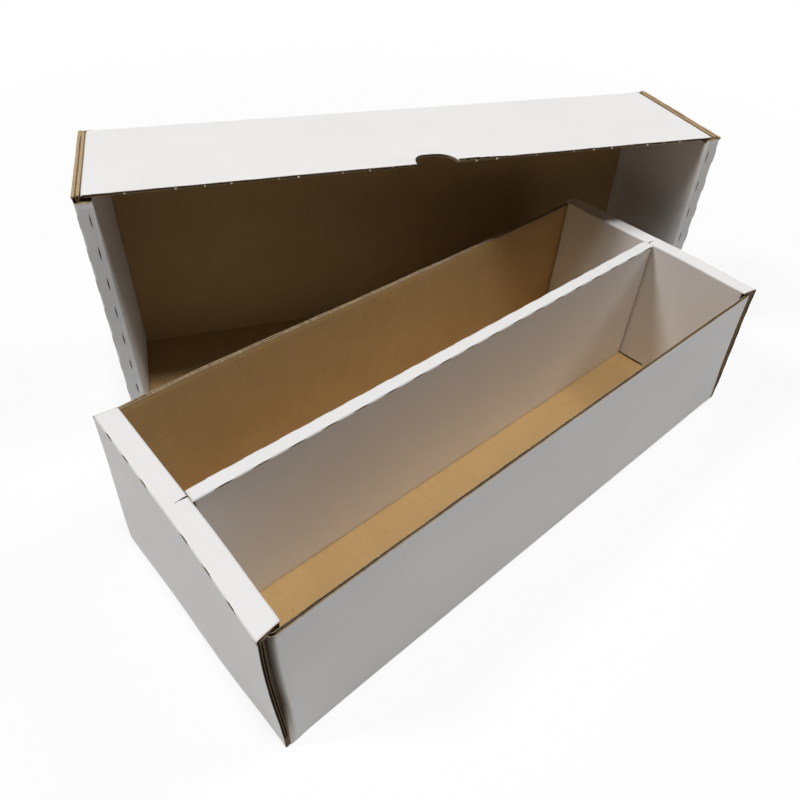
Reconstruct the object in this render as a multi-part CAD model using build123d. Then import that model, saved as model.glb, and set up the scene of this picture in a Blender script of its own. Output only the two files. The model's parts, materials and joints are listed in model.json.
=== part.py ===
from build123d import *
import math
import os

# Card storage box of die-cut fluted board: an open tray for two rows of cards, a folded divider
# that lifts out, and a lid that has been taken off. The lid stands on its long side behind the
# tray, open side to the front, and the tray's back right corner stands on the lid's lower wall.
# Sizes are in millimetres and angles in degrees. X runs along the rows and Z is up.

# Board and its folds
board = 2.8  # thickness of the fluted board
fold_radius = 2.2  # outside rounding of a fold
flap_play = 0.5  # room above and below a dust flap inside an end wall
panel_play = 0.5  # room between an inner end panel and the long walls
flap_spacing = 26.0  # between the free edges of the two flaps in one end wall
lock_tab_width = 28.0  # tab at the foot of an inner end panel
lock_tab_inset = 34.0  # from the inside of a long wall to the middle of a tab
lock_tab_recess = 0.4  # the tab stops this far short of the outside face
lock_tab_play = 0.4  # room around a tab in its slot

# Tray: two rows of cards that stand upright
row_length = 345.0
row_width = 68.0
tray_height = 97.5
tray_end_slack = 3.1  # room in an end wall beyond its three boards
tray_rim_setback = 1.0  # from a long wall's outside face to the end of the rim
slit_width = 1.4  # V-shaped slit in the rim beside the divider
slit_length = 6.0

# Divider, an upside-down U
divider_width = 7.8
divider_end_play = 0.4  # room between the divider and an inner end panel
divider_floor_play = 0.3  # room under its leaves

# Lid
lid_depth = 92.5
lid_end_clearance = 5.5  # between the tray's end and the lid's, when the lid is on
lid_side_clearance = 4.5
lid_end_slack = 0.4
lid_rim_setback = 3.5
notch_radius = 12.0  # half-round thumb notch

# Where the lid stands
lid_turn = -23.8  # about the upright axis
corner_to_lid_end = 55.6  # from the tray's back right corner to the lid's right inner panel
corner_to_lid_top = 30.7  # from the same corner to the inside of the lid's top panel
stand_gap = 0.1  # between the tray's underside and the lid wall that carries it

# Sizes that follow
tray_rim = 3 * board + tray_end_slack
tray_length = row_length + 2 * tray_rim
tray_width = 2 * row_width + divider_width + 2 * board
lid_rim = 3 * board + lid_end_slack
lid_length = tray_length + 2 * (lid_end_clearance + lid_rim)
lid_width = tray_width + 2 * (lid_side_clearance + board)

ends = {"left": -1, "right": 1}


# Plate between three pairs of limits
def slab(x, y, z):
    limits = [sorted(pair) for pair in (x, y, z)]
    size = [high - low for low, high in limits]
    middle = [(high + low) / 2 for low, high in limits]
    return Pos(*middle) * Box(*size)


# Folded edges of a plate, each named by a point beside it
def rounded(plate, *points):
    folds = [plate.edges().sort_by_distance(point)[0] for point in points]
    return fillet(folds, fold_radius)


# Tray or lid with rolled ends, standing with its open side up. The front is at +Y or -Y.
def roll_end_box(length, width, height, rim, rim_setback, front):
    half_length = length / 2
    half_width = width / 2
    inside = half_width - board
    wall_top = height - board
    bend_gap = (rim - 3 * board) / 2
    wall_end = half_length - board - bend_gap
    panel_end = inside - panel_play
    tab_place = inside - lock_tab_inset
    pieces = {}

    base = slab((-half_length + board, half_length - board), (-inside, inside), (0, board))
    for side, y in {"front": front, "back": -front}.items():
        outside = y * half_width
        wall = slab((-wall_end, wall_end), (outside, y * inside), (0, wall_top))
        pieces[side + "_wall"] = rounded(
            wall,
            (0, outside, 0),
            (-wall_end, outside, height / 2),
            (wall_end, outside, height / 2),
        )
        for end, x in ends.items():
            flap_x = (x * wall_end, x * (wall_end - board))
            flap_y = (y * inside, y * flap_spacing / 2)
            flap_z = (board + flap_play, wall_top - flap_play)
            pieces[f"{side}_{end}_flap"] = slab(flap_x, flap_y, flap_z)

    for end, x in ends.items():
        outside = x * half_length
        rim_inside = x * (half_length - rim)
        panel_back = rim_inside + x * board
        outer = slab((outside, outside - x * board), (-half_width, half_width), (0, wall_top))
        pieces[end + "_end_panel"] = rounded(outer, (outside, 0, 0))
        rim_end = half_width - rim_setback
        strip = slab((outside, rim_inside), (-rim_end, rim_end), (wall_top, height))
        pieces[end + "_rim"] = rounded(strip, (outside, 0, height), (rim_inside, 0, height))
        inner = slab((rim_inside, panel_back), (-panel_end, panel_end), (board, wall_top))
        for y in (-tab_place, tab_place):
            tab_y = (y - lock_tab_width / 2, y + lock_tab_width / 2)
            slot_x = (rim_inside - x * lock_tab_play, panel_back + x * lock_tab_play)
            slot_y = (tab_y[0] - lock_tab_play, tab_y[1] + lock_tab_play)
            inner += slab((rim_inside, panel_back), tab_y, (lock_tab_recess, board))
            base -= slab(slot_x, slot_y, (0, board))
        pieces[end + "_inner_panel"] = inner
    pieces["base"] = base
    return pieces


# Tray, with a slit in each rim where the divider meets it
def make_tray():
    tray = roll_end_box(tray_length, tray_width, tray_height, tray_rim, tray_rim_setback, -1)
    for end, x in ends.items():
        mouth = x * row_length / 2
        tip = (mouth + x * slit_length, 0)
        lips = [(mouth, -slit_width / 2), (mouth, slit_width / 2)]
        outline = make_face(Polyline(*lips, tip, close=True))
        tray[end + "_rim"] -= Pos(0, 0, tray_height) * extrude(outline, -board, both=True)
    return {"tray_" + name: piece for name, piece in tray.items()}


# Divider: two leaves under a strip whose long edges are folds
def make_divider():
    half_length = row_length / 2 - divider_end_play
    half_width = divider_width / 2
    leaf_top = tray_height - board
    along = (-half_length, half_length)
    strip = slab(along, (-half_width, half_width), (leaf_top, tray_height))
    folds = [(0, -half_width, tray_height), (0, half_width, tray_height)]
    divider = {"divider_top_strip": rounded(strip, *folds)}
    for side, y in {"front": -1, "back": 1}.items():
        leaf_y = (y * half_width, y * (half_width - board))
        leaf_z = (board + divider_floor_play, leaf_top)
        divider[f"divider_{side}_leaf"] = slab(along, leaf_y, leaf_z)
    return divider


# Lid, with the thumb notch in the free edge of its front wall
def make_lid():
    lid = roll_end_box(lid_length, lid_width, lid_depth, lid_rim, lid_rim_setback, 1)
    notch = Rot(90, 0, 0) * Cylinder(notch_radius, 4 * board)
    lid["front_wall"] -= Pos(0, lid_width / 2, lid_depth - board) * notch
    lid["top_panel"] = lid.pop("base")
    return {"lid_" + name: piece for name, piece in lid.items()}


# The lid stands on its back wall, turned so that the tray's corner reaches into it
turn = math.radians(lid_turn)
along_lid = Vector(math.cos(turn), math.sin(turn))
into_lid = Vector(-math.sin(turn), math.cos(turn))
tray_corner = Vector(tray_length / 2, tray_width / 2)
corner_along = lid_length / 2 - lid_rim - corner_to_lid_end
corner_into = lid_depth - board - corner_to_lid_top
lid_foot = tray_corner - along_lid * corner_along - into_lid * corner_into
lid_place = Pos(lid_foot.X, lid_foot.Y, 0) * Rot(0, 0, lid_turn)
lid_place *= Pos(0, lid_depth, lid_width / 2) * Rot(90, 0, 0)

# The tray leans on the raw edge of that wall, and on its own front left corner
pivot = Vector(-tray_length / 2, -tray_width / 2)
wall_edge = lid_foot + into_lid * board
lean = math.degrees(math.atan((board + stand_gap) / (wall_edge - pivot).dot(into_lid)))
tray_place = Pos(pivot.X, pivot.Y, 0) * Rot(0, 0, lid_turn) * Rot(lean, 0, 0)
tray_place *= Rot(0, 0, -lid_turn) * Pos(-pivot.X, -pivot.Y, 0)

# Everything stands on the floor at Z = 0, with the origin in the middle of the footprint
pieces = {name: tray_place * piece for name, piece in (make_tray() | make_divider()).items()}
pieces |= {name: lid_place * piece for name, piece in make_lid().items()}
extent = Compound(list(pieces.values())).bounding_box()
origin = Pos(-extent.center().X, -extent.center().Y, -extent.min.Z)

os.makedirs("parts", exist_ok=True)
for name, piece in pieces.items():
    export_step(origin * piece, f"parts/{name}.step")
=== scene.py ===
import json
import math
import bpy
import numpy as np
from mathutils import Matrix, Quaternion, Vector


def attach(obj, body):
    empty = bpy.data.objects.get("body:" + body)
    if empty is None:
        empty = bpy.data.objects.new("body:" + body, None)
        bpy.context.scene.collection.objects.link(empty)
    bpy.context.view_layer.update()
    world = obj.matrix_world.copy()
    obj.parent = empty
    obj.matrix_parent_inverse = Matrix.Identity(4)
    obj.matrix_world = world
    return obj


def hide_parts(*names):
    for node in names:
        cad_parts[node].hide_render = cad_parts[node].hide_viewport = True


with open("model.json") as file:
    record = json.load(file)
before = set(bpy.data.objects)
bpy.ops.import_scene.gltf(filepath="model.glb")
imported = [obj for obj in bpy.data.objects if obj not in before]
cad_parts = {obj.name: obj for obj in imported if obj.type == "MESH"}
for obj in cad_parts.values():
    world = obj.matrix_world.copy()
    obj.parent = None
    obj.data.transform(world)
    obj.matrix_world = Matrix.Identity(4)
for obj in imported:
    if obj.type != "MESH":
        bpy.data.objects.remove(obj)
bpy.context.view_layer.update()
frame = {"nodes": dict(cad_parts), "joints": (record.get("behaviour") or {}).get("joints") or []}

mm = 0.001  # panels are worked out in millimetres, in the tray's or the lid's own axes
joints = {joint["name"]: joint for joint in frame["joints"]}
alongX, alongY, alongZ = np.eye(3)
far = 1e3  # past every edge

# Fluted board that everything is cut from
stock = {
    "liner": 0.28,  # paper on each face
    "medium": 0.24,  # fluted paper between them
    "flutePitch": 6.2,
    "fluteDepth": 14.0,  # how far in from a die-cut edge the flutes are made
    "crush": 0.9,  # share of the flute height lost at a die-cut edge
    "crushReach": 3.0,
    "pinch": 0.14,  # share of the thickness lost at a die-cut edge
    "pinchReach": 1.6,
    "edgeFill": 0.2,  # share of the hollow that crushed fibres close at a die-cut edge
    "fillReach": 0.7,
    "foldRadius": 1.4,  # outside of a scored fold
    "foldPull": 4.0,  # inner layers give way this far beside a fold
    "foldSqueeze": 0.15,  # smallest radius of an inner layer in a fold
    "shutReach": 6.0,  # a raw edge is shut this far up from a fold
    "seamGap": 0.1,  # below the inner layer of a rolled fold
    "cornerFoot": 7.0,  # a long wall's fold turns square this far from its corners
    "footEase": 3.0,  # a square foot comes out over this much of its corner
    "dropTurn": 0.52,  # a lower flap starts here, in quarter turns of its corner
    "wallLevel": 0.9,  # level that a long wall's free edge closes on, in its thickness
    "rimRadius": 1.2,  # outside of a rolled rim's outer fold
    "rimEndReach": 25.0,  # an end that isn't cut square dies out over this length
    "cutEase": 0.6,  # a fold changes from scored to cut over this length
    "pullEase": 4.0,  # and a drawn-in fold comes out again over this
    "slitTaper": ((0.5, 1.0), (0.78, 0.66), (1.0, 0.33)),  # shares of a slit's length and width
    "wearReach": 1.6,  # how far in from a die-cut edge the paper is darkened: soiling, and on the kraft partly painted shade
    "edgeWave": 0.09,  # waviness of a die-cut edge
    "wavePaces": (0.41, 0.17, 0.063),  # radians per millimetre
    "waveReach": 2.5,  # how far in from the edge
}
nickLook = {  # torn tufts, where nicks held the blank in its sheet
    "pitch": 13.2,
    "share": 0.85,  # of the places have one
    "endRoom": 9.0,  # none is this near to an end
    "stray": 2.0,
    "out": 0.1,  # from the edge
    "levels": (0.15, 0.85),  # in the board's thickness
    "levelOdds": (0.7, 0.3),
    "sizes": (0.7, 1.2),
    "shape": (0.75, 0.6, 0.8),  # half sizes of a tuft of size 1
    "crown": 1.15,
    "rim": 0.12,
    "rough": (0.7, 1.3),
    "steps": 4,
}
foldDarkLook = {  # painted shade deep in the side folds, and a darker line along the bottom fold
    "before": 1.0,  # a side fold's painted shade starts this far before it
    "reach": 3.6,
    "footLoss": 0.6,  # share that is missing at a square foot
    "lineTurn": 0.45,  # a bottom fold's line, in quarter turns
    "lineWidth": 0.22,
}
meshing = {  # how finely a panel is meshed
    "step": 6,
    "foldSteps": 8,  # in a quarter turn
    "edgeSteps": (0.3, 0.8, 1.5, 2.6, 4.2, 7),  # in from a die-cut edge
    "fluteSteps": (0.15, 0.6, 1.3, 2.3, 3.6, 6),
    "fluteWave": 8,  # in one flute
    "fluteMargin": 0.3,  # at the ends of the fluted paper
    "cutMargin": 0.3,  # on both sides of a cut's end
    "notchSteps": 32,
    "cornerSteps": 7,
    "sliver": 0.09,  # lines nearer than this are joined
    "smooth": 40,  # degrees; a steeper edge stays sharp
    "noiseStep": 0.137,  # between two pieces' places in the finishes' noise
}


# Finishes
class Value:  # a shader socket that takes part in Python sums
    def __init__(self, paint, socket):
        self.paint = paint
        self.socket = socket

    def maths(self, operation, first, second):
        return self.paint.node("ShaderNodeMath", {"operation": operation}, {0: first, 1: second})

    def __add__(self, other):
        return self.maths("ADD", self, other)

    def __radd__(self, other):
        return self.maths("ADD", other, self)

    def __sub__(self, other):
        return self.maths("SUBTRACT", self, other)

    def __rsub__(self, other):
        return self.maths("SUBTRACT", other, self)

    def __mul__(self, other):
        return self.maths("MULTIPLY", self, other)

    def __rmul__(self, other):
        return self.maths("MULTIPLY", other, self)


class Paint:  # node tree of one finish
    def __init__(self, name, tree=None):
        if tree is None:
            self.material = bpy.data.materials.new(name)
            self.material.use_nodes = True
            tree = self.material.node_tree
        self.tree = tree
        self.tree.nodes.clear()

    def node(self, kind, settings=None, sockets=None, output=0):
        made = self.tree.nodes.new(kind)
        for name, value in (settings or {}).items():
            setattr(made, name, value)
        for key, value in (sockets or {}).items():
            if isinstance(value, Value):
                self.tree.links.new(value.socket, made.inputs[key])
            else:
                made.inputs[key].default_value = value
        return Value(self, made.outputs[output]) if made.outputs else None

    def mix(self, share, first, second):  # colours; a plain colour is a tuple of three
        first, second = [c if isinstance(c, Value) else (*c, 1) for c in (first, second)]
        return self.node("ShaderNodeMix", {"data_type": "RGBA"}, {0: share, 6: first, 7: second}, 2)

    def noise(self, place, scale, detail=3, rough=0.55, stretch=(1, 1, 1), span=None):
        settings = {"operation": "MULTIPLY"}
        spread = self.node("ShaderNodeVectorMath", settings, {0: place, 1: stretch})
        sockets = {"Vector": spread, "Scale": scale, "Detail": detail, "Roughness": rough}
        grain = self.node("ShaderNodeTexNoise", {"noise_dimensions": "3D"}, sockets)
        return self.between(grain, *span) if span else grain

    def between(self, value, low, high):  # 0 at low, 1 at high
        sockets = {"Value": value, "From Min": low, "From Max": high, "To Min": 0.0, "To Max": 1.0}
        return self.node("ShaderNodeMapRange", {"clamp": True}, sockets)

    def boardPlace(self):
        return self.node("ShaderNodeAttribute", {"attribute_name": "boardPlace"}, {}, "Vector")

    def boardWearAndShade(self):
        return self.node("ShaderNodeAttribute", {"attribute_name": "boardWearAndShade"}, {}, "Fac")

    def fluteRidges(self, place):  # flutes that print through a liner
        first = self.node("ShaderNodeSeparateXYZ", {}, {0: place}, "X")
        turn = 2 * math.pi / (stock["flutePitch"] * mm)
        return self.node("ShaderNodeMath", {"operation": "SINE"}, {0: first * turn})

    def blend(self, layers, shares):  # sum of layers times their shares; a base is a plain number
        parts = [layers.get(name, 1) * share for name, share in shares.items()]
        return sum(parts[1:], parts[0])

    def surface(self, colour, roughness, height):  # height in millimetres
        bump = self.node("ShaderNodeBump", {}, {"Strength": 1.0, "Distance": mm, "Height": height})
        sockets = {"Base Color": colour, "Roughness": roughness, "Normal": bump}
        sockets["Specular IOR Level"] = paperShine
        shader = self.node("ShaderNodeBsdfPrincipled", {}, sockets)
        self.node("ShaderNodeOutputMaterial", {}, {"Surface": shader})
        return self.material


paperShine = 0.35
whiteLook = {
    "tones": ((0.835, 0.825, 0.815), (0.79, 0.78, 0.77)),
    "tint": {"cloud": 0.6, "ridge": 0.03, "fibre": 0.3},  # from the first tone to the second
    "grain": {
        "cloud": {"scale": 22, "detail": 4, "span": (0.3, 0.72)},
        "fibre": {"scale": 900, "rough": 0.6, "stretch": (1, 0.35, 1)},
        "fleck": {"scale": 520, "detail": 2, "rough": 0.5, "span": (0.735, 0.77)},
        "patch": {"scale": 160},
    },
    "flecks": {"fleck": (0.2, (0.55, 0.52, 0.48))},
    "wearAndShade": (  # wear beside a die-cut edge; in a corner fold both steps are painted shade, the second nearly black
        {"colour": (0.60, 0.54, 0.46), "span": (0.45, 1.15), "share": 0.7, "patchy": 0.9},
        {"colour": (0.13, 0.11, 0.09), "span": (1.1, 3.0), "share": 1},
    ),
    "height": {"ridge": 0.007, "fibre": 0.012, "cloud": 0.03},  # millimetres
    "roughness": {"base": 0.52, "cloud": 0.1, "fibre": 0.08},
}
fleckGrain = {"detail": 2, "rough": 0.5}
kraftLook = {
    "tones": ((0.56, 0.365, 0.16), (0.43, 0.27, 0.106)),
    "lidPaintedShade": 0.8,  # painted shade: the lid's kraft is darker for the shade inside the lid
    "tint": {"cloud": 0.4, "streak": 0.45, "fibre": 0.35, "ridge": 0.015, "base": -0.12},
    "grain": {
        "cloud": {"scale": 30, "detail": 5, "rough": 0.6, "span": (0.28, 0.74)},
        "streak": {"scale": 260, "detail": 4, "rough": 0.6, "stretch": (1, 0.18, 1)},
        "fibre": {"scale": 1400, "rough": 0.65, "stretch": (0.5, 0.16, 1)},
        "dark": {"scale": 700, "stretch": (0.9, 0.4, 1), "span": (0.68, 0.74), **fleckGrain},
        "light": {"scale": 820, "stretch": (0.4, 0.9, 1), "span": (0.70, 0.76), **fleckGrain},
    },
    "flecks": {"dark": (0.5, (0.24, 0.145, 0.065)), "light": (0.35, (0.70, 0.53, 0.33))},
    # darker beside a die-cut edge, partly soiling and partly painted shade; in a corner fold it is
    # painted shade
    "wearAndShade": ({"colour": (0.22, 0.16, 0.09), "span": (0.4, 1.1), "share": 0.6},),
    "height": {"ridge": 0.006, "fibre": 0.02, "streak": 0.02},
    "roughness": {"base": 0.74, "fibre": 0.14},
}


def paperLiner(name, look, shade=1):  # paper on a face of the board
    paint = Paint(name)
    place = paint.boardPlace()
    layers = {part: paint.noise(place, **grain) for part, grain in look["grain"].items()}
    layers["ridge"] = paint.fluteRidges(place)
    # a shade below 1 makes a darker copy of the paper, painted shade
    tones = [tuple(part * shade for part in tone) for tone in look["tones"]]
    colour = paint.mix(paint.blend(layers, look["tint"]), *tones)
    for fleck, (share, speck) in look["flecks"].items():
        colour = paint.mix(layers[fleck] * share, colour, speck)
    wearAndShade = paint.boardWearAndShade()
    for step in look["wearAndShade"]:
        depth = wearAndShade
        if "patchy" in step:
            depth = wearAndShade + (layers["patch"] - 0.5) * step["patchy"]
        share = paint.between(depth, *step["span"]) * step["share"]
        colour = paint.mix(share, colour, step["colour"])
    roughness, height = [paint.blend(layers, look[part]) for part in ("roughness", "height")]
    return paint.surface(colour, roughness, height)


# painted shade: the fluted paper and the hidden faces of the liners are far darker than kraft, for
# the shade in the hollow
coreShadeLook = {"light": (0.15, 0.097, 0.05), "dark": (0.07, 0.044, 0.022), "bump": 0.04, "scale": 420}
cutLook = {"light": (0.38, 0.28, 0.17), "dark": (0.17, 0.115, 0.062), "bump": 0.06, "scale": 900}
edgeLook = {"light": (0.48, 0.345, 0.2), "dark": (0.40, 0.28, 0.155), "bump": 0.05, "scale": 700}
tornLook = {"light": (0.72, 0.65, 0.56), "dark": (0.50, 0.40, 0.30), "bump": 0.08, "scale": 1200}
edgeGrain = {"detail": 4, "rough": 0.65, "span": (0.32, 0.7), "roughness": (0.8, 0.1)}


def paperEdge(name, look):  # flutes, die-cut edges and torn tufts
    paint = Paint(name)
    grain = paint.noise(paint.boardPlace(), look["scale"], edgeGrain["detail"], edgeGrain["rough"])
    colour = paint.mix(paint.between(grain, *edgeGrain["span"]), look["dark"], look["light"])
    base, share = edgeGrain["roughness"]
    return paint.surface(colour, base + grain * share, grain * look["bump"])


finishes = {
    "white": paperLiner("white_clay_liner", whiteLook),
    "kraft": paperLiner("kraft_liner", kraftLook),
    "lidKraft": paperLiner("lid_kraft_liner_painted_shade", kraftLook, kraftLook["lidPaintedShade"]),
    "core": paperEdge("fluted_medium_painted_shade", coreShadeLook),
    "cut": paperEdge("die_cut_edge", cutLook),
    "edge": paperEdge("closed_edge", edgeLook),
    "torn": paperEdge("torn_fibres", tornLook),
}
print("finishes made:", ", ".join(finishes))


# Board pieces
class Stand:  # axes and origin of the tray or the lid, in the shared frame
    def __init__(self, along, up, base, bend=None):
        up = Vector(up).normalized()
        side = up.cross(Vector(along)).normalized()
        self.axes = np.array([side.cross(up), side, up])
        self.origin = np.zeros(3)
        low, high = self.limits(base)
        self.origin = np.array([(low[0] + high[0]) / 2, (low[1] + high[1]) / 2, low[2]])
        self.bend = bend

    def points(self, node):
        corners = np.array([corner.co for corner in frame["nodes"][node].data.vertices])
        return corners @ self.axes.T / mm - self.origin

    def limits(self, node):
        points = self.points(node)
        return points.min(0), points.max(0)

    def matrix(self):
        turn = Matrix(self.axes.T.tolist()).to_4x4()
        return Matrix.Translation(Vector(self.axes.T @ (self.origin * mm))) @ turn


class Board:  # gathers the closed sheets of one piece and makes its object
    def __init__(self, node, stand):
        self.node = node
        self.stand = stand
        self.seed = seeds[node]
        self.points = []
        self.faces = []
        self.finishes = []
        self.places = []
        self.wearAndShade = []
        self.count = 0

    def sheet(self, place, wearAndShade, upper, lower, finish, keep=None):
        shape = upper.shape[:2]
        size = shape[0] * shape[1]
        if keep is None:
            keep = np.ones((shape[0] - 1, shape[1] - 1), bool)
        ids = self.count + np.arange(size).reshape(shape)
        i, j = np.nonzero(keep)
        a, b, c, d = ids[i, j], ids[i + 1, j], ids[i + 1, j + 1], ids[i, j + 1]
        top = np.stack([a, b, c, d], 1)
        rims = []
        around = np.pad(keep, 1)
        for di, dj, p, q in ((0, -1, a, b), (1, 0, b, c), (0, 1, c, d), (-1, 0, d, a)):
            free = ~around[i + 1 + di, j + 1 + dj]
            rims.append(np.stack([q, p, p + size, q + size], 1)[free])
        for faces, name in zip((top, top[:, ::-1] + size, np.concatenate(rims)), finish):
            self.faces.append(faces)
            self.finishes += [name] * len(faces)
        self.points += [upper.reshape(-1, 3), lower.reshape(-1, 3)]
        self.places += [place.reshape(-1, 3)] * 2
        self.wearAndShade += [wearAndShade.reshape(-1)] * 2
        self.count += 2 * size

    def make(self, body, slot):
        faces = np.concatenate(self.faces)
        used, order = np.unique(faces, return_inverse=True)
        points = np.concatenate(self.points)[used]
        if self.stand.bend:
            points = self.stand.bend(points)
        mesh = bpy.data.meshes.new(self.node + "_board")
        mesh.from_pydata((points * mm).tolist(), [], order.reshape(faces.shape).tolist())
        names = sorted(set(self.finishes))
        for name in names:
            mesh.materials.append(finishes[name])
        mesh.polygons.foreach_set("material_index", [names.index(name) for name in self.finishes])
        places, wearAndShade = [np.concatenate(parts)[used] for parts in (self.places, self.wearAndShade)]
        spot = mesh.attributes.new("boardPlace", "FLOAT_VECTOR", "POINT")
        spot.data.foreach_set("vector", places.astype(np.float32).ravel())
        wearAndShadeLayer = mesh.attributes.new("boardWearAndShade", "FLOAT", "POINT")
        wearAndShadeLayer.data.foreach_set("value", wearAndShade.astype(np.float32))
        mesh.shade_smooth()
        mesh.set_sharp_from_angle(angle=math.radians(meshing["smooth"]))
        piece = bpy.data.objects.new(self.node + "_board", mesh)
        link(piece)
        piece.matrix_world = self.stand.matrix()
        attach(piece, body)
        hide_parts(self.node)


def link(thing):
    bpy.context.scene.collection.objects.link(thing)


def ease(value):  # smooth step from 0 to 1
    value = np.clip(value, 0, 1)
    return value * value * (3 - 2 * value)


def within(value, low, high, reach):  # 1 between the limits, eased over reach at both
    return ease((value - low) / reach + 0.5) * ease((high - value) / reach + 0.5)


def tidyStops(stops, keys):  # sorted grid lines without slivers; the keys always stay
    line = []
    fixed = {round(key, 3) for key in keys}
    for stop in sorted({round(stop, 3) for stop in [*stops, *keys]}):
        near = line and stop - line[-1] < meshing["sliver"]
        if near and stop not in fixed:
            continue
        if near and line[-1] not in fixed:
            line[-1] = stop
        else:
            line.append(stop)
    return np.array(line)


panelOptions = {
    "outline": None,  # moves u and v to shape an edge
    "keys": [],  # more grid lines along u
    "cuts": [],  # stretches of u where a perforated fold is cut
    "cutFold": {},  # how square a fold is at a cut
    "slit": {},  # opening at a cut of a fold, in its quarter turns
    "holes": [],  # (u, u, v, v) cut through the whole board
    "bare": [],  # and cut out of the outside liner alone
    "innerTrim": 0,  # the inside liner stops short of the top
    "bow": 0,
    "squareFoot": 0,  # side folds turn square below this height
    "footReach": 0,  # and stand out by this at the foot
    "pinch": stock["pinch"],
    "pinchFrom": 0.5,  # level that a crushed edge closes on, in the thickness
    "edgeFill": stock["edgeFill"],
    "edgeFinish": "cut",
    "foldSoil": 0,  # painted shade in the side folds
    "foldLine": 0,  # a darker line along the bottom fold
    "fluteDepth": stock["fluteDepth"],
}


class Panel:  # a panel of board; u and v run over it, w runs out from its inside face
    def __init__(self, board, corner, across, up, span, rise, folds, raw, flutes, sides, **more):
        self.board = board
        self.corner = np.array(corner, float)
        self.across = np.array(across, float)
        self.up = np.array(up, float)
        self.outward = np.cross(self.across, self.up)
        self.folds = folds
        self.raw = raw  # die-cut sides
        self.flutes = flutes
        self.sides = sides  # finishes of the outside and the inside
        self.u = (span[0] + folds.get("left", 0), span[1] - folds.get("right", 0))
        self.v = (rise[0] + folds.get("bottom", 0), rise[1] - folds.get("top", 0))
        for name, value in {**panelOptions, **more}.items():
            setattr(self, name, value)
        self.random = np.random.default_rng(board.seed)
        self.phases = self.random.uniform(0, 2 * math.pi, (2, 4, 3))

    def quarter(self, side):  # length of a quarter turn
        return math.pi / 2 * self.folds[side]

    def edges(self, u, v):  # what runs across each side, its place, and what runs along it
        return {
            "left": (u, self.u[0], v),
            "right": (u, self.u[1], v),
            "bottom": (v, self.v[0], u),
            "top": (v, self.v[1], u),
        }

    def beyond(self, u):  # how far past the flat part, to the left or the right
        return np.maximum(self.u[0] - u, u - self.u[1])

    def nearFoot(self, v):  # 1 where the side folds are square, 0 where they are round
        return ease(1 - v / max(self.squareFoot, 0.1))

    def stops(self, limits, sides, keys):
        low, high = limits
        line = list(np.linspace(low, high, max(1, round((high - low) / meshing["step"])) + 1))
        ends = [low, high]
        for side, end, way in ((sides[0], low, -1), (sides[1], high, 1)):
            if side in self.folds:
                turn = self.quarter(side) * np.linspace(0, 1, meshing["foldSteps"] + 1)
                line += list(end + way * turn)
                ends.append(end + way * turn[-1])
            if side in self.raw:
                line += [end - way * gap for gap in meshing["edgeSteps"]]
        inside = [key for key in keys if min(ends) < key < max(ends)]
        return tidyStops(line, [*ends, *inside])

    def edgeGap(self, u, v):  # distance to the nearest die-cut edge
        gap = np.full(u.shape, far)
        edges = self.edges(u, v)
        for side in self.raw:
            gap = np.minimum(gap, np.abs(edges[side][0] - edges[side][1]))
        return gap

    def wavy(self, u, v, layer):  # die-cut edges wander a little, each liner by itself
        movedU, movedV = u.copy(), v.copy()
        for number, (side, (over, edge, along)) in enumerate(self.edges(u, v).items()):
            if side in self.raw:
                phases = zip(stock["wavePaces"], self.phases[layer, number])
                wave = sum(np.sin(along * pace + phase) for pace, phase in phases)
                fade = np.exp(-(((over - edge) / stock["waveReach"]) ** 2))
                shift = stock["edgeWave"] * wave * fade
                if side in ("left", "right"):
                    movedU += shift
                else:
                    movedV += shift
        return movedU, movedV

    def sharpness(self, u):  # 1 where the perforated fold is cut, 0 where it is only scored
        sharp = np.zeros(u.shape)
        for low, high in self.cuts:
            sharp = np.maximum(sharp, within(u, low, high, stock["cutEase"]))
        return sharp

    def turned(self, s, w, flat, sides, sharp):  # folds the line s round its ends
        tiny = 1e-6  # keeps the tangent finite
        ends = [end if side in self.folds else None for side, end in zip(sides, flat)]
        along = s if ends == [None, None] else np.clip(s, *ends)
        sink = np.zeros(s.shape)
        for side, past, way in ((sides[0], flat[0] - s, -1), (sides[1], s - flat[1], 1)):
            if side in self.folds:
                fold = self.folds[side]
                angle = np.clip(past, 0, None) / fold
                radius = np.maximum(w - thickness + fold, stock["foldSqueeze"])
                back = thickness - w + radius - fold  # inner layers turn earlier
                tangent = np.tan(np.clip(angle, tiny, math.pi / 2 - tiny))
                cut = sharp * self.cutFold.get(side, 0)
                reach = np.sin(angle) * (1 - cut) + np.minimum(1, tangent) * cut
                drop = (1 - np.cos(angle)) * (1 - cut) + (1 - np.minimum(1, 1 / tangent)) * cut
                near = np.exp(-((np.minimum(past, 0) / stock["foldPull"]) ** 2))
                along = along + way * (radius * np.where(past > 0, reach, 0) - back * near)
                sink = sink + radius * np.where(past > 0, drop, 0)
        return along, sink

    def place(self, u, v, w):
        pinch = np.exp(-((self.edgeGap(u, v) / stock["pinchReach"]) ** 2))
        level = self.pinchFrom * thickness
        w = level + (w - level) * (1 - self.pinch * pinch)
        sharp = self.sharpness(u)
        if self.outline:
            u, v = self.outline(u, v)
        low = self.nearFoot(v)
        x, sinkU = self.turned(u, w, self.u, ("left", "right"), low)
        past = np.clip(self.beyond(u) / stock["footEase"], 0, 1)
        x = x + np.sign(u) * self.footReach * low * past
        y, sinkV = self.turned(v, w, self.v, ("bottom", "top"), sharp)
        if "left" in self.folds:  # a side fold runs straight down to the foot
            sinkV = sinkV * (1 - ease(1 + self.beyond(u) / stock["cornerFoot"]))
        middle = np.cos(math.pi / 2 * np.clip(2 * u / (self.u[1] - self.u[0]), -1, 1))
        height = ease((v - self.v[0]) / (self.v[1] - self.v[0]))
        out = w - sinkU - sinkV + self.bow * middle * height
        axes = np.array([self.across, self.up, self.outward])
        return self.corner + np.stack([x, y, out], -1) @ axes

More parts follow.
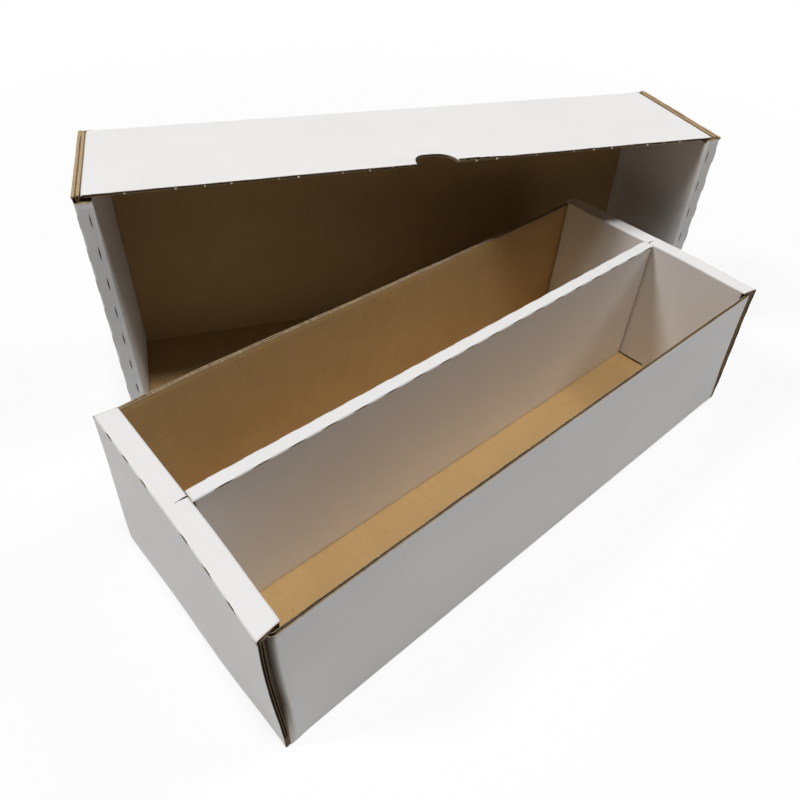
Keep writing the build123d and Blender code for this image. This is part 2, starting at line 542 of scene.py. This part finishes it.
    def spot(self, u, v):  # place for the finishes; its first axis crosses the flutes
        first, second = (u, v) if self.flutes == "up" else (v, u)
        third = np.full(u.shape, self.board.seed * meshing["noiseStep"])
        return np.stack([first * mm, second * mm, third], -1)

    def inside(self, us, vs, holes):
        u, v = np.meshgrid((us[1:] + us[:-1]) / 2, (vs[1:] + vs[:-1]) / 2, indexing="ij")
        found = np.zeros(u.shape, bool)
        for u0, u1, v0, v1 in holes:
            found |= (u > u0) & (u < u1) & (v > v0) & (v < v1)
        return found

    def slits(self):  # openings in the outside liner at the cuts of a perforated fold
        found = []
        for side, parts in self.slit.items():
            edge, way = (self.v[1], 1) if side == "top" else (self.v[0], -1)
            low, high = sorted(edge + way * self.quarter(side) * part for part in parts)
            for u0, u1 in self.cuts:  # narrower towards its ends
                for long, wide in stock["slitTaper"]:
                    taper = (u1 - u0) * (1 - long) / 2
                    narrow = (high - low) * (1 - wide) / 2
                    found.append((u0 + taper, u1 - taper, low + narrow, high - narrow))
        return found

    def lay(self):  # liners and flutes of the panel
        slits = self.slits() + self.bare
        through = self.holes
        inner = through + [(-far, far, self.v[1] - self.innerTrim, far)] * bool(self.innerTrim)
        margin = meshing["cutMargin"]
        uKeys = [key for hole in through + slits for key in hole[:2]] + self.keys
        uKeys += [end + step for cut in self.cuts for end in cut for step in (-margin, margin)]
        vKeys = [key for hole in inner + slits for key in hole[2:]]
        us = self.stops(self.u, ("left", "right"), uKeys)
        vs = self.stops(self.v, ("bottom", "top"), vKeys)
        u, v = np.meshgrid(us, vs, indexing="ij")
        liner = stock["liner"]
        gap = self.edgeGap(u, v)
        wearAndShade = np.exp(-gap / stock["wearReach"])
        # painted shade in the side folds, and a darker line along the bottom fold, go into the wear
        if self.foldSoil:
            depth = ease((self.beyond(u) + foldDarkLook["before"]) / foldDarkLook["reach"])
            wearAndShade = wearAndShade + self.foldSoil * depth * (1 - foldDarkLook["footLoss"] * self.nearFoot(v))
        if self.foldLine:
            off = (self.v[0] - v) / self.quarter("bottom") - foldDarkLook["lineTurn"]
            wearAndShade = wearAndShade + self.foldLine * np.exp(-((off / foldDarkLook["lineWidth"]) ** 2))
        fill = self.edgeFill
        if "bottom" in self.folds and "left" in self.raw:  # a raw edge is shut beside a fold
            fill = np.maximum(fill, ease(2 - (v - self.v[0]) / stock["shutReach"]))
        hollow = thickness / 2 - liner - stock["medium"] / 2
        inset = liner + hollow * fill * np.exp(-((gap / stock["fillReach"]) ** 2))
        outside, inside = self.sides
        layers = (
            (0 * u + thickness, thickness - inset, (outside, "core"), through + slits),
            (inset, 0 * u, ("core", inside), inner),
        )
        for layer, (high, low, finish, holes) in enumerate(layers):
            wanderU, wanderV = self.wavy(u, v, layer)
            faces = [self.place(wanderU, wanderV, w) for w in (high, low)]
            keep = ~self.inside(us, vs, holes)
            self.board.sheet(self.spot(u, v), wearAndShade, *faces, (*finish, self.edgeFinish), keep)
        for side in self.raw:
            if (side in ("top", "bottom")) == (self.flutes == "up"):
                self.layFlutes(side)
        return self

    def layFlutes(self, side):  # fluted paper behind a die-cut edge that crosses the flutes
        pitch = stock["flutePitch"]
        steps = meshing["fluteWave"]
        margin = meshing["fluteMargin"]
        edge = dict(zip(("left", "right", "bottom", "top"), (*self.u, *self.v)))[side]
        way = 1 if side in ("left", "bottom") else -1
        inward = np.sort(edge + way * np.array([*meshing["fluteSteps"], self.fluteDepth]))
        low, high = self.u if self.flutes == "up" else self.v
        if self.flutes == "across" and "bottom" in self.folds:  # they run on round the fold
            low = low - self.quarter("bottom")
        count = max(steps, round((high - low) / pitch * steps)) + 1
        low, high = low + margin, high - margin
        keys = [key for key in self.keys if low < key < high]
        along = tidyStops(np.linspace(low, high, count), keys)
        us, vs = (along, inward) if self.flutes == "up" else (inward, along)
        u, v = np.meshgrid(us, vs, indexing="ij")
        gap = self.edgeGap(u, v)
        crush = 1 - stock["crush"] * np.exp(-((gap / stock["crushReach"]) ** 2))
        wave = np.cos(2 * math.pi / pitch * (u if self.flutes == "up" else v))
        swing = (thickness - 2 * stock["liner"] - stock["medium"]) / 2
        middle = thickness / 2 + swing * wave * crush
        faces = [self.place(u, v, middle + half * stock["medium"] / 2) for half in (1, -1)]
        keep = ~self.inside(us, vs, self.holes)
        wearAndShade = np.exp(-gap / stock["wearReach"])
        self.board.sheet(self.spot(u, v), wearAndShade, *faces, ("core", "core", "cut"), keep)

    def nicks(self, side, size, spare=()):  # torn tufts along a die-cut edge
        edge, way = (self.v[1], 1) if side == "top" else (self.v[0], -1)
        room = nickLook["endRoom"]
        stray = nickLook["stray"]
        for u in np.arange(self.u[0] + room, self.u[1] - room, nickLook["pitch"]):
            u = u + self.random.uniform(-stray, stray)
            keep = self.random.uniform() < nickLook["share"]
            w = self.random.choice(nickLook["levels"], p=nickLook["levelOdds"]) * thickness
            scale = size * self.random.uniform(*nickLook["sizes"])
            if keep and not any(a < u < b for a, b in spare):
                self.tuft(u, edge + way * nickLook["out"], w, scale)

    def tuft(self, u, v, w, size):  # small lump of fibres
        steps = np.linspace(-1, 1, nickLook["steps"])
        a, b = np.meshgrid(steps, steps, indexing="ij")
        crown = np.clip(nickLook["crown"] - a * a - b * b, nickLook["rim"], 1)
        crown = crown * self.random.uniform(*nickLook["rough"], a.shape)
        at = self.place(*[np.full((1, 1), value) for value in (u, v, w)])[0, 0]
        long, wide, thick = [part * size for part in nickLook["shape"]]
        flat = at + (a * long)[..., None] * self.across + (b * wide)[..., None] * self.up
        lift = (crown * thick)[..., None] * self.outward
        spot = np.stack([a * mm, b * mm, a * 0 + self.board.seed], -1)
        self.board.sheet(spot, a * 0 + 1, flat + lift, flat - lift, ("torn",) * 3)


def cutStretches(low, high, look):  # cuts of a perforated fold
    half = look["cutLength"] / 2
    middles = np.arange(low + look["cutFirst"], high - half, look["cutPitch"])
    kept = [m for m in middles if all(abs(m - place) >= half for place in look["cutSkip"])]
    return [(m - half, m + half) for m in kept]


# Tray and lid, made alike: long walls with flaps, and ends rolled over the flaps
trayLook = {
    "sides": ("white", "kraft"),  # finishes of the board's outside and inside
    "cornerRadius": 3.2,  # where a long wall turns into its flap
    "foldSoil": 3.0,  # painted shade in that corner
    "foldLine": 0,  # a darker line along the fold to the base
    "squareFoot": 40.0,  # that corner turns square towards the foot
    "footReach": 2.0,  # and reaches this much further there
    "edgePinch": {"front": 0.36, "back": 0.12},  # thickness lost at a long wall's free edge
    "wallFill": {"front": 0.45, "back": 0.9},  # how far crushed fibres close that edge
    "endFill": 0.1,  # and the raw edges of an end panel
    "endEdge": "core",  # finish of those raw edges: the dark core, painted shade
    "endPinch": {"left": (0.1, 1), "right": (-0.35, 0)},  # thickness lost there, and the level
    "footGap": 1.5,  # under an inner panel, between its tabs
    "panelGap": 0.4,  # more room beside an inner panel
    "flapDrop": 0,  # a flap stops this far below the wall's free edge
    "rimInside": 0.95,  # outside of the rim's inner fold
    "slit": {"top": (0.42, 0.85)},  # opening of a cut in the rim, in quarter turns
    "cutDepth": 0.3,  # how square the rim's outer fold is at a cut
    "cutPull": 0.0,  # how far that fold is drawn in between the cuts
    "cutLength": 8.6,
    "cutFirst": 17.9,
    "cutPitch": 18.6,
    "cutSkip": (0,),  # no cut crosses these places
    "rimSlit": ((0.45, 2.4), (0.3, 4), (0.15, 6)),  # beside the divider: half widths and lengths
    "rimEnds": {  # how far the rim's raw ends stop short, at its outer and its inner edge
        "left": {"front": (0, 1.9), "back": (0, 1.6)},
        "right": {"front": (-1.2, 0.8), "back": (0, 0)},
    },
    "bows": {"front": -0.6, "back": -1.4},
    "nickSize": 0.3,
}
lidLook = {
    # the inside is the darker kraft copy, painted shade inside the lid
    "sides": ("white", "lidKraft"),
    "cornerRadius": 2.6,
    "foldSoil": 0,
    "foldLine": 2.4,
    "squareFoot": 0.0,
    "footReach": 0.0,
    "edgePinch": {"front": 0.5, "back": 0.5},
    "wallFill": {"front": 0.3, "back": 0.3},
    "endFill": 0.85,
    "endEdge": "edge",
    "endPinch": {"left": (-0.4, 0.5), "right": (-0.5, 0)},
    "footGap": 0.6,
    "panelGap": 0.3,
    "flapDrop": 6.0,
    "rimInside": 1.4,
    "slit": {"bottom": (-0.8, -0.5)},
    "cutDepth": 1.0,
    "cutPull": 0.5,
    "cutLength": 8.4,
    "cutFirst": 10.25,
    "cutPitch": 19.5,
    "cutSkip": (),
    "rimSlit": (),
    "rimEnds": {
        "left": {"front": (0, 0), "back": (2.6, 3.2)},
        "right": {"front": (-3.0, -2.2), "back": (0.6, 1.2)},
    },
    "bows": {"front": 0.3, "back": 0},
    "nickSize": 0.8,
}
thumb = {  # notch in the lid's front wall
    "middle": -1.5,  # along the wall
    "halfWidth": 13.0,
    "depth": 12.0,
    "reach": 30.0,  # the grid below it gives way over this height
    "sheer": 4,  # how steep its left end is
    "bare": {  # stretches beside it where the white liner is torn back, and how far
        (-47, -41): 0.5,
        (-41, -35): 0.9,
        (-35, -29): 1.3,
        (-29, -22): 1.7,
        (-22, -15): 1.9,
    },
    "torn": {-14.9: 0.5, -14.2: 0.8, -13.5: 0.6, -12.6: 0.7, -11.5: 0.45},  # tufts and their sizes
    "tornLevel": 0.7,  # in the board's thickness
    "clear": 3.0,  # no nick is this near
}
dents = {  # where the tray stands out of square
    "reach": (26, 26, 36),
    "foot": {"places": range(-140, 150, 40), "wall": -75, "out": 0.85},  # of the front wall
    "corners": {  # a place, and how far that has moved
        "nearTop": ((-184, -74, 97), (-1.5, -0.3, 0)),
        "nearMiddle": ((-184, -74, 48), (-0.1, 0, 0)),
        "nearFoot": ((-184, -75, 0), (2.3, -1.1, 0)),
        "farLeftTop": ((-184, 74, 97), (0.2, -3.0, 0)),
        "farLeftFoot": ((-184, 75, 0), (-1.5, -1.8, 0)),
        "rightTop": ((184, -74, 97), (-3.8, 0, -0.3)),
        "rightFoot": ((184, -75, 0), (2.4, -1.1, 1.3)),
        "farRightTop": ((184, 74, 97), (1.5, 0, 0.7)),
    },
}


def dented(points):  # a smooth push that meets every dent
    foot = dents["foot"]
    row = [((x, foot["wall"], 0), (0, -foot["out"], 0)) for x in foot["places"]]
    pairs = np.array([*dents["corners"].values(), *row], float)
    places, shifts = pairs.transpose(1, 0, 2)

    def pull(ends):
        gaps = (ends[:, None] - places[None]) / np.array(dents["reach"])
        return np.exp(-(gaps**2).sum(-1) / 2)

    return points + pull(points) @ np.linalg.solve(pull(places), shifts)


trayAxes = (joints["back_leaf_fold"]["axis"], joints["divider_lift"]["axis"])
trayStand = Stand(*trayAxes, "tray_base", dented)
lidUp = -Vector(joints["lid_slide"]["axis"])
lidStand = Stand(Vector((0, 0, 1)).cross(lidUp), lidUp, "lid_top_panel")
thickness = float(np.ptp(trayStand.limits("tray_base"), axis=0)[2])
seeds = {node: number + 1 for number, node in enumerate(sorted(frame["nodes"]))}


def rimSeam(radius):  # an inside liner ends this far below a rolled fold
    return max(thickness - radius, 0) + stock["seamGap"]


def thumbNotch(u, v):  # dips the free edge of the lid's front wall
    top = lidStand.limits("lid_front_wall")[1][2]
    off = (u - thumb["middle"]) / thumb["halfWidth"]
    side = np.where(off > 0, thumb["sheer"], 2)
    dip = thumb["depth"] * np.sqrt(np.clip(1 - np.abs(off) ** side, 0, 1))
    return u, v - dip * ease((v - top + thumb["reach"]) / thumb["reach"])


def longWall(kind, side, stand, look):
    node = f"{kind}_{side}_wall"
    low, high = stand.limits(node)
    way = math.copysign(1, low[1] + high[1])
    inside = way * (max(abs(low[1]), abs(high[1])) - thickness)
    corner = look["cornerRadius"]
    folds = {"left": corner, "right": corner, "bottom": stock["foldRadius"]}
    notched = node == "lid_front_wall"
    turns = np.linspace(-math.pi / 2, math.pi / 2, meshing["notchSteps"] + 1)
    free = high[2] - look["flapDrop"]
    edge = high[0] + corner * (stock["dropTurn"] * math.pi / 2 - 1)
    panel = Panel(
        Board(node, stand),
        (0, inside, 0), np.cross(alongZ, way * alongY), alongZ,
        (-high[0], high[0]), (0, high[2]),
        folds, ("top",), "up", look["sides"],
        outline=thumbNotch if notched else None,
        keys=list(thumb["middle"] + thumb["halfWidth"] * np.sin(turns)) if notched else [],
        holes=[(edge, far, free, far), (-far, -edge, free, far)],
        bare=[(*ends, high[2] - back, far) for ends, back in thumb["bare"].items() if notched],
        cutFold={"left": 1, "right": 1}, squareFoot=look["squareFoot"],
        footReach=look["footReach"], bow=look["bows"][side],
        pinch=look["edgePinch"][side], pinchFrom=stock["wallLevel"],
        edgeFill=look["wallFill"][side],
        foldSoil=look["foldSoil"], foldLine=look["foldLine"],
    ).lay()
    if side == "front":
        clear = thumb["halfWidth"] + thumb["clear"]
        panel.nicks("top", look["nickSize"], [(-clear, clear)] if notched else [])
    for place, size in thumb["torn"].items() if notched else ():
        panel.tuft(place, high[2], thumb["tornLevel"] * thickness, size)
    panel.board.make(kind, "white_board")


def dustFlap(kind, side, end, stand, look):
    node = f"{kind}_{side}_{end}_flap"
    low, high = stand.limits(node)
    wayX = math.copysign(1, low[0])
    wayY = math.copysign(1, low[1] + high[1])
    outer = max(abs(low[0]), abs(high[0]))
    free = min(abs(low[1]), abs(high[1]))
    wall = stand.limits(f"{kind}_{side}_wall")
    bend = max(abs(wall[0][1]), abs(wall[1][1])) - look["cornerRadius"]
    span = sorted(wayX * wayY * place for place in (free, bend))
    freeSide = "left" if wayX * wayY > 0 else "right"
    Panel(
        Board(node, stand),
        (wayX * (outer - thickness), 0, 0), wayX * alongY, alongZ,
        span, (low[2], wall[1][2] - look["flapDrop"]),
        {}, (freeSide, "top", "bottom"), "up", look["sides"],
    ).lay().board.make(kind, "kraft_board")


def endPanel(kind, end, stand, look):
    node = f"{kind}_{end}_end_panel"
    low, high = stand.limits(node)
    way = math.copysign(1, low[0])
    outer = max(abs(low[0]), abs(high[0]))
    top = stand.limits(f"{kind}_{end}_rim")[1][2] - stock["rimRadius"]
    pinch, level = look["endPinch"][end]
    Panel(
        Board(node, stand),
        (way * (outer - thickness), 0, 0), way * alongY, alongZ,
        (-high[1], high[1]), (0, top),
        {"bottom": stock["foldRadius"]}, ("left", "right"), "across", look["sides"],
        innerTrim=rimSeam(stock["rimRadius"]),
        edgeFill=look["endFill"], edgeFinish=look["endEdge"], pinch=pinch, pinchFrom=level,
    ).lay().board.make(kind, "white_board")


def rolledRim(kind, end, stand, look):
    node = f"{kind}_{end}_rim"
    low, high = stand.limits(node)
    way = math.copysign(1, low[0])
    inner, outer = sorted((abs(low[0]), abs(high[0])))
    span = sorted((-way * low[1], -way * high[1]))
    slot = [(-half, half, -far, inner + tip) for half, tip in look["rimSlit"]]
    cuts = cutStretches(*span, look)
    sideEnds = {}
    for side in ("front", "back"):
        wallLow = stand.limits(f"{kind}_{side}_wall")[0]
        sideEnds[side] = math.copysign(high[1], wallLow[1])

    def handMade(u, v):  # raw ends aren't cut quite square, and the outer fold is a little wavy
        inward = np.clip((outer - v) / (outer - inner), 0, 1)
        moved = u.copy()
        for side, place in sideEnds.items():
            atOuter, atInner = look["rimEnds"][end][side]
            trim = atOuter + (atInner - atOuter) * inward
            near = np.clip(1 - np.abs(u + way * place) / stock["rimEndReach"], 0, 1)
            moved += way * math.copysign(1, place) * trim * near
        cut = sum((within(u, *ends, stock["pullEase"]) for ends in cuts), 0 * u)
        return moved, v - look["cutPull"] * (1 - cut) * ease(1 - inward * 2)

    Panel(
        Board(node, stand),
        (0, 0, high[2] - thickness), -way * alongY, way * alongX,
        span, (inner, outer),
        {"bottom": look["rimInside"], "top": stock["rimRadius"]},
        ("left", "right"), "across", look["sides"],
        outline=handMade,
        cuts=cuts, cutFold={"top": look["cutDepth"]}, slit=look["slit"], holes=slot,
    ).lay().board.make(kind, "white_board")


def innerPanel(kind, end, stand, look):
    node = f"{kind}_{end}_inner_panel"
    low, high = stand.limits(node)
    way = math.copysign(1, low[0])
    inner = min(abs(low[0]), abs(high[0]))
    top = stand.limits(f"{kind}_{end}_rim")[1][2] - look["rimInside"]
    edge = high[1] - look["panelGap"]
    foot = thickness + look["footGap"]
    points = stand.points(node)
    tab = np.abs(points[points[:, 2] < thickness / 2][:, 1])  # lock tabs in the base's slots
    between = ((-far, -tab.max()), (-tab.min(), tab.min()), (tab.max(), far))
    gaps = [(*ends, -far, foot) for ends in between]
    Panel(
        Board(node, stand),
        (way * (inner + thickness), 0, 0), -way * alongY, alongZ,
        (-edge, edge), (low[2], top),
        {}, ("left", "right", "bottom"), "across", look["sides"],
        holes=gaps, innerTrim=rimSeam(look["rimInside"]),
    ).lay().board.make(kind, "white_board")


baseLook = {
    "outline": 0.5,  # points nearer than this to the outline belong to no slot
    "slotFit": 0.35,  # the slots close on the tabs by this
    "cornerSpread": 1.5,  # shares of a wall's square corner that a base's corner reaches under
    "cornerShort": 0.3,  # and it stops this far short of the wall's outside
    "cornerPower": 8,
}


def basePanel(kind, node, stand, look):
    high = stand.limits(node)[1]
    ends = stand.limits(f"{kind}_left_end_panel")
    halfLength = -ends[0][0] - stock["foldRadius"]
    halfWidth = ends[1][1] - stock["foldRadius"]
    points = np.abs(stand.points(node))[:, :2]
    slotPoints = points[(points < high[:2] - baseLook["outline"]).all(1)]
    x0, y0 = slotPoints.min(0) + baseLook["slotFit"]
    x1, y1 = slotPoints.max(0) - baseLook["slotFit"]
    slots = [(x0, x1, y0, y1), (x0, x1, -y1, -y0), (-x1, -x0, y0, y1), (-x1, -x0, -y1, -y0)]
    spread = baseLook["cornerSpread"] * stock["cornerFoot"]
    steps = halfLength - np.linspace(0, spread, meshing["cornerSteps"] + 1)
    reach = stock["foldRadius"] - baseLook["cornerShort"]

    def cornered(u, v):  # corners reach under the square feet of the walls
        share = ease((np.abs(u) - steps[-1]) / stock["cornerFoot"])
        beside = (np.abs(v) / halfWidth) ** baseLook["cornerPower"]
        return u, v + np.sign(v) * share * reach * beside

    Panel(
        Board(node, stand),
        (0, 0, thickness), alongX, -alongY,
        (-halfLength, halfLength), (-halfWidth, halfWidth),
        {}, (), "up", look["sides"],
        outline=cornered, keys=[*steps, *-steps], holes=slots,
    ).lay().board.make(kind, "kraft_board")


boxes = (("tray", "tray_base", trayStand, trayLook), ("lid", "lid_top_panel", lidStand, lidLook))
for kind, base, stand, look in boxes:
    basePanel(kind, base, stand, look)
    for side in ("front", "back"):
        longWall(kind, side, stand, look)
    for end in ("left", "right"):
        endPanel(kind, end, stand, look)
        rolledRim(kind, end, stand, look)
        innerPanel(kind, end, stand, look)
        for side in ("front", "back"):
            dustFlap(kind, side, end, stand, look)
    print(kind, "built")

# Divider, an upside-down U of the same board
dividerLook = {
    "cutFirst": 15.0,
    "cutPitch": 19.0,
    "cutLength": 9.5,
    "cutSkip": (),
    "cutDepth": {"bottom": 0.85, "top": 0.35},  # how square the two folds are at a cut
    "slit": {"bottom": (0.48, 0.88)},  # opening of a cut in the front fold, in quarter turns
    "stripGap": -0.3,  # at the ends of the strip and of the leaves, added to the solid's own
    "leafGap": 0.9,
    "nickSize": 0.6,
    "foldRoom": 1.2,  # the leaves' inside liners stop this far short, so that they can fold
    "fluteRoom": 2.0,  # and their flutes
}
dividerStand = Stand(*trayAxes, "tray_base")  # as the tray's, without its dents


def dividerStrip():
    node = "divider_top_strip"
    low, high = dividerStand.limits(node)
    half = high[0] - dividerLook["stripGap"]
    Panel(
        Board(node, dividerStand),
        (0, 0, high[2] - thickness), alongX, alongY,
        (-half, half), (low[1], high[1]),
        {"bottom": stock["rimRadius"], "top": stock["rimRadius"]},
        ("left", "right"), "up", trayLook["sides"],
        cuts=cutStretches(-half, half, dividerLook),
        cutFold=dividerLook["cutDepth"], slit=dividerLook["slit"],
    ).lay().board.make("divider", "white_board")


def dividerLeaf(side):
    node = f"divider_{side}_leaf"
    low, high = dividerStand.limits(node)
    way = math.copysign(1, low[1] + high[1])
    outer = max(abs(low[1]), abs(high[1]))
    half = high[0] - dividerLook["leafGap"]
    top = dividerStand.limits("divider_top_strip")[1][2] - stock["rimRadius"]
    seam = rimSeam(stock["rimRadius"])
    panel = Panel(
        Board(node, dividerStand),
        (0, way * (outer - thickness), 0), np.cross(alongZ, way * alongY), alongZ,
        (-half, half), (low[2], top),
        {}, ("left", "right", "bottom"), "up", trayLook["sides"],
        innerTrim=seam + dividerLook["foldRoom"],
        fluteDepth=top - low[2] - seam - dividerLook["fluteRoom"],
    ).lay()
    panel.nicks("bottom", dividerLook["nickSize"])
    panel.board.make(f"divider_{side}", "white_board")


dividerStrip()
dividerLeaf("front")
dividerLeaf("back")
print("divider built")

# Floor, light and camera
floorLook = {
    "size": 12.0,
    "bounce": 0.6,
    "seen": 0.97,
    "shadow": 0.2,  # share of the shade that shows
    "shadowEdge": (0.9, 0.3),  # it fades out between these distances from the middle
    "drop": 0.0004,  # below the part's feet
}
skyLook = {"ambient": 0.01, "seen": 1.0}
lampDistance = 3.0
lamps = {  # heading from the X axis, rise above the floor, size and power
    "front_softbox": (246, 78, 0.42, 41.0),
    "left_softbox": (156, 48, 0.6, 32.5),
    "right_softbox": (334, 50, 1.0, 24.0),
}
view = {
    "place": (-0.270775, -0.27793, 0.33014),
    "heading": 43.433,  # degrees from the Y axis towards X
    "down": 40.07,
    "roll": 3.171,
    "lens": 30.907,
    "sensor": 36,
    "nearest": 0.01,
    "shift": (-0.00745, -0.0385),
}


def seenDirectly(paint):  # 1 for the rays that show the background itself
    kinds = ("Camera", "Glossy", "Transmission")
    rays = [paint.node("ShaderNodeLightPath", {}, {}, f"Is {kind} Ray") for kind in kinds]
    return paint.between(rays[0] + rays[1] + rays[2], 0, 1)


def floorFinish():
    paint = Paint("floor_paper")
    seen = seenDirectly(paint)
    shade = [(floorLook[name],) * 3 for name in ("bounce", "seen")]
    matt = paint.node("ShaderNodeBsdfDiffuse", {}, {"Color": paint.mix(seen, *shade)})
    glow = paint.node("ShaderNodeEmission", {}, {"Color": (1, 1, 1, 1), "Strength": 1.0})
    place = paint.node("ShaderNodeTexCoord", {}, {}, "Object")
    away = paint.node("ShaderNodeVectorMath", {"operation": "LENGTH"}, {0: place}, "Value")
    shadow = floorLook["shadow"] * paint.between(away, *floorLook["shadowEdge"])
    mixed = paint.node("ShaderNodeMixShader", {}, {0: seen * (1 - shadow), 1: matt, 2: glow})
    paint.node("ShaderNodeOutputMaterial", {}, {"Surface": mixed})
    return paint.material


def makeFloor():
    half = floorLook["size"] / 2
    mesh = bpy.data.meshes.new("floor")
    corners = [(-half, -half, 0), (half, -half, 0), (half, half, 0), (-half, half, 0)]
    mesh.from_pydata(corners, [], [(0, 1, 2, 3)])
    mesh.materials.append(floorFinish())
    floor = bpy.data.objects.new("floor", mesh)
    floor.location.z = -floorLook["drop"]
    link(floor)


def makeSky():
    world = bpy.data.worlds.new("studio")
    world.use_nodes = True
    bpy.context.scene.world = world
    paint = Paint("studio", world.node_tree)
    shades = [{"Color": (1, 1, 1, 1), "Strength": skyLook[name]} for name in ("ambient", "seen")]
    dim, bright = [paint.node("ShaderNodeBackground", {}, shade) for shade in shades]
    mixed = paint.node("ShaderNodeMixShader", {}, {0: seenDirectly(paint), 1: dim, 2: bright})
    paint.node("ShaderNodeOutputWorld", {}, {"Surface": mixed})


def makeLamps():
    for name, (heading, rise, size, power) in lamps.items():
        heading, rise = math.radians(heading), math.radians(rise)
        flat = math.cos(rise)
        towards = Vector((math.cos(heading) * flat, math.sin(heading) * flat, math.sin(rise)))
        lamp = bpy.data.lights.new(name, "AREA")
        lamp.shape = "DISK"
        lamp.size = size
        lamp.energy = power
        softbox = bpy.data.objects.new(name, lamp)
        softbox.location = towards * lampDistance
        softbox.rotation_euler = towards.to_track_quat("Z", "Y").to_euler()
        link(softbox)


def makeCamera():
    heading, down, roll = [math.radians(view[name]) for name in ("heading", "down", "roll")]
    flat = math.cos(down)
    forward = Vector((math.sin(heading) * flat, math.cos(heading) * flat, -math.sin(down)))
    lens = bpy.data.cameras.new("photo_view")
    lens.sensor_width = view["sensor"]
    lens.lens = view["lens"]
    lens.shift_x, lens.shift_y = view["shift"]
    lens.clip_start = view["nearest"]
    camera = bpy.data.objects.new("photo_view", lens)
    camera.rotation_mode = "QUATERNION"
    camera.rotation_quaternion = forward.to_track_quat("-Z", "Y") @ Quaternion((0, 0, 1), roll)
    camera.location = view["place"]
    link(camera)
    bpy.context.scene.camera = camera


makeFloor()
makeSky()
makeLamps()
makeCamera()
bpy.context.scene.view_settings.view_transform = "Standard"
print("floor, light and camera set")

bpy.context.view_layer.update()
